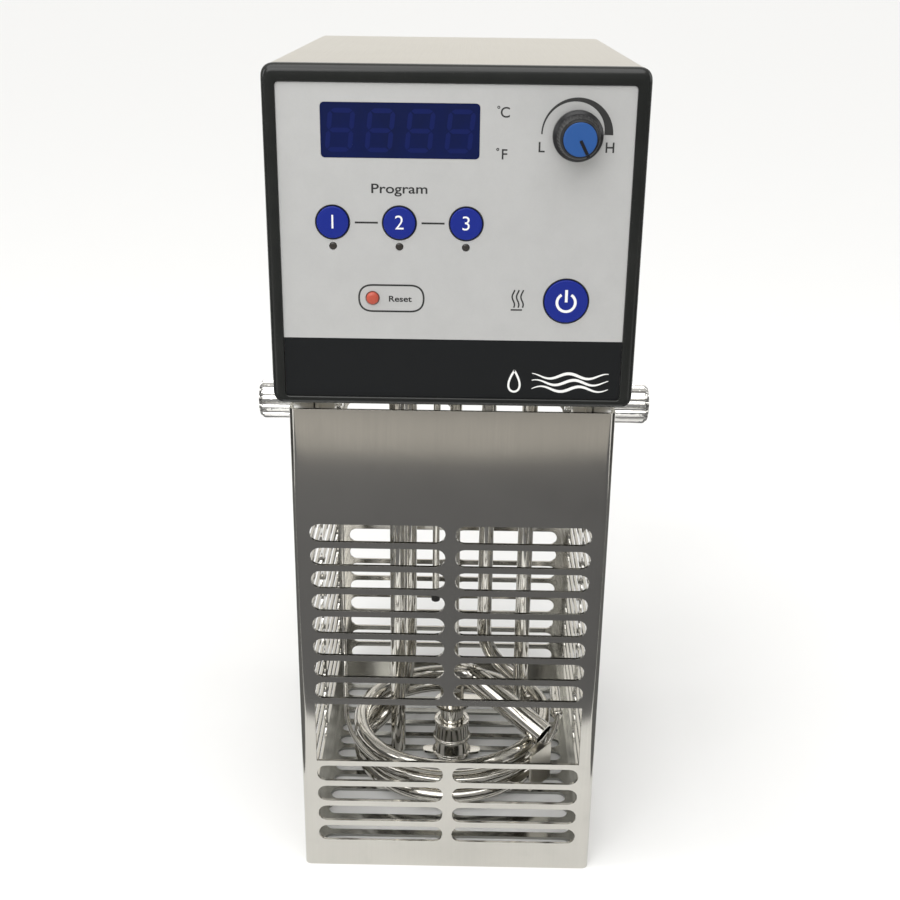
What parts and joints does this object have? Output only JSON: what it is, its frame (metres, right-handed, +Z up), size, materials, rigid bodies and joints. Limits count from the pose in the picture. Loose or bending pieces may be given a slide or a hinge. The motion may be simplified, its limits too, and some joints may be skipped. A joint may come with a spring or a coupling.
{
  "type": "sous vide circulator",
  "caption": "Immersion heater and pump head with a control panel, over a heater coil and pump in a slotted steel cage that lifts off.",
  "frame": {"origin": "middle of the cage floor's underside, on the ground", "axes": "+X to the right as seen from the control panel's front, +Y to the back, +Z up"},
  "size_m": [0.158, 0.1856, 0.3098],
  "materials": {
    "brushed_stainless": "fine vertical brush with bright cut edges",
    "satin_stainless": "satin",
    "polished_stainless": "bright drawn tube",
    "chrome_knob": "bright plated",
    "gloss_black": "gloss moulding",
    "silver_film": "printed metallic silver film with a black lower band",
    "blue_window": "tinted window with faint digits",
    "module_black": "moulded black",
    "circuit_board": "green solder mask",
    "brass_parts": "turned",
    "led_dark": "smoked lens",
    "zinc_parts": "zinc plated",
    "phenolic_brown": "moulded phenolic",
    "black_aluminium": "black anodised",
    "laminations": "varnished laminations",
    "cast_aluminium": "die cast",
    "copper_winding": "enamelled copper wire",
    "bearing_steel": "ground",
    "black_rubber": "matt",
    "ceramic_white": "unglazed ceramic",
    "matte_black": "moulded nylon",
    "aluminium_sheet": "mill finish",
    "knob_black": "semi gloss moulding",
    "dial_blue": "satin cap",
    "button_blue": "semi gloss keycap with a white sign",
    "reset_red": "domed push rod"
  },
  "bodies": {
    "cage": {"cage_front": "brushed_stainless", "cage_left": "brushed_stainless", "cage_right": "brushed_stainless", "cage_back": "brushed_stainless", "cage_floor": "brushed_stainless"},
    "head": {"base_plate": "satin_stainless", "head_cover": "satin_stainless", "rear_panel": "satin_stainless", "front_bezel": "gloss_black", "front_plate": "aluminium_sheet", "front_overlay": "silver_film", "display_window": "blue_window", "display_module": "module_black", "control_board": "circuit_board", "board_standoffs": "brass_parts", "button_switches": "module_black", "program_leds": "led_dark", "dial_potentiometer": "zinc_parts", "reset_thermostat": "phenolic_brown", "power_board": "circuit_board", "heat_sink": "black_aluminium", "transformer": "laminations", "motor_bracket": "zinc_parts", "motor_can": "zinc_parts", "motor_end_cap": "cast_aluminium", "motor_stator": "copper_winding", "motor_bearings": "bearing_steel", "shaft_seal": "black_rubber", "heater_element": "polished_stainless", "heater_terminals": "ceramic_white", "gland_nuts": "bearing_steel", "temperature_probe": "polished_stainless", "level_probe": "polished_stainless", "level_probe_tip": "black_rubber", "overheat_sensor": "polished_stainless", "support_rod": "polished_stainless", "pump_housing": "polished_stainless", "pump_outlet_pipe": "polished_stainless", "outlet_deflector": "satin_stainless", "hanger_brackets": "satin_stainless", "cable_gland": "matte_black", "case_screws": "bearing_steel"},
    "rotor": {"drive_shaft": "polished_stainless", "motor_shaft": "bearing_steel", "motor_rotor": "laminations", "cooling_fan": "matte_black", "shaft_coupling": "cast_aluminium", "impeller": "satin_stainless"},
    "dial": {"dial_knob": "knob_black", "dial_cap": "dial_blue", "dial_shaft": "zinc_parts"},
    "program_key_1": {"program_button_1": "button_blue"},
    "program_key_2": {"program_button_2": "button_blue"},
    "program_key_3": {"program_button_3": "button_blue"},
    "power_key": {"power_button": "button_blue"},
    "reset_key": {"reset_button": "reset_red"},
    "washer_left": {"clamp_washer_left": "bearing_steel"},
    "washer_right": {"clamp_washer_right": "bearing_steel"},
    "knob_left": {"clamp_knob_left": "chrome_knob"},
    "knob_right": {"clamp_knob_right": "chrome_knob"}
  },
  "joints": [
    {"name": "head_lift", "type": "slide", "parent": "cage", "child": "head", "axis": [0, 0, 1], "range_m": [0, 0.2]},
    {"name": "rotor_spin", "type": "hinge", "parent": "head", "child": "rotor", "pos_m": [0.001, 0, 0.21], "axis": [0, 0, 1], "continuous": true},
    {"name": "dial_turn", "type": "hinge", "parent": "head", "child": "dial", "pos_m": [0.0385, -0.08, 0.2891], "axis": [0, -1, 0], "range_deg": [0, 300]},
    {"name": "program_1_press", "type": "slide", "parent": "head", "child": "program_key_1", "axis": [0, 1, 0], "range_m": [0, 0.0008], "stiffness_N_per_m": 1500},
    {"name": "program_2_press", "type": "slide", "parent": "head", "child": "program_key_2", "axis": [0, 1, 0], "range_m": [0, 0.0008], "stiffness_N_per_m": 1500},
    {"name": "program_3_press", "type": "slide", "parent": "head", "child": "program_key_3", "axis": [0, 1, 0], "range_m": [0, 0.0008], "stiffness_N_per_m": 1500},
    {"name": "power_press", "type": "slide", "parent": "head", "child": "power_key", "axis": [0, 1, 0], "range_m": [0, 0.0008], "stiffness_N_per_m": 1500},
    {"name": "reset_press", "type": "slide", "parent": "head", "child": "reset_key", "axis": [0, 1, 0], "range_m": [0, 0.0015], "stiffness_N_per_m": 1000},
    {"name": "left_clamp_travel", "type": "slide", "parent": "head", "child": "washer_left", "axis": [-1, 0, 0], "range_m": [0, 0.003]},
    {"name": "left_knob_turn", "type": "hinge", "parent": "washer_left", "child": "knob_left", "pos_m": [-0.0583, 0, 0.1724], "axis": [-1, 0, 0], "range_deg": [0, 1080]},
    {"name": "right_clamp_travel", "type": "slide", "parent": "head", "child": "washer_right", "axis": [1, 0, 0], "range_m": [0, 0.003]},
    {"name": "right_knob_turn", "type": "hinge", "parent": "washer_right", "child": "knob_right", "pos_m": [0.0583, 0, 0.1724], "axis": [1, 0, 0], "range_deg": [0, 1080]}
  ],
  "couplings": [
    {"joint": "left_knob_turn", "follows": "left_clamp_travel", "rad_per_m": 6283},
    {"joint": "right_knob_turn", "follows": "right_clamp_travel", "rad_per_m": 6283}
  ]
}
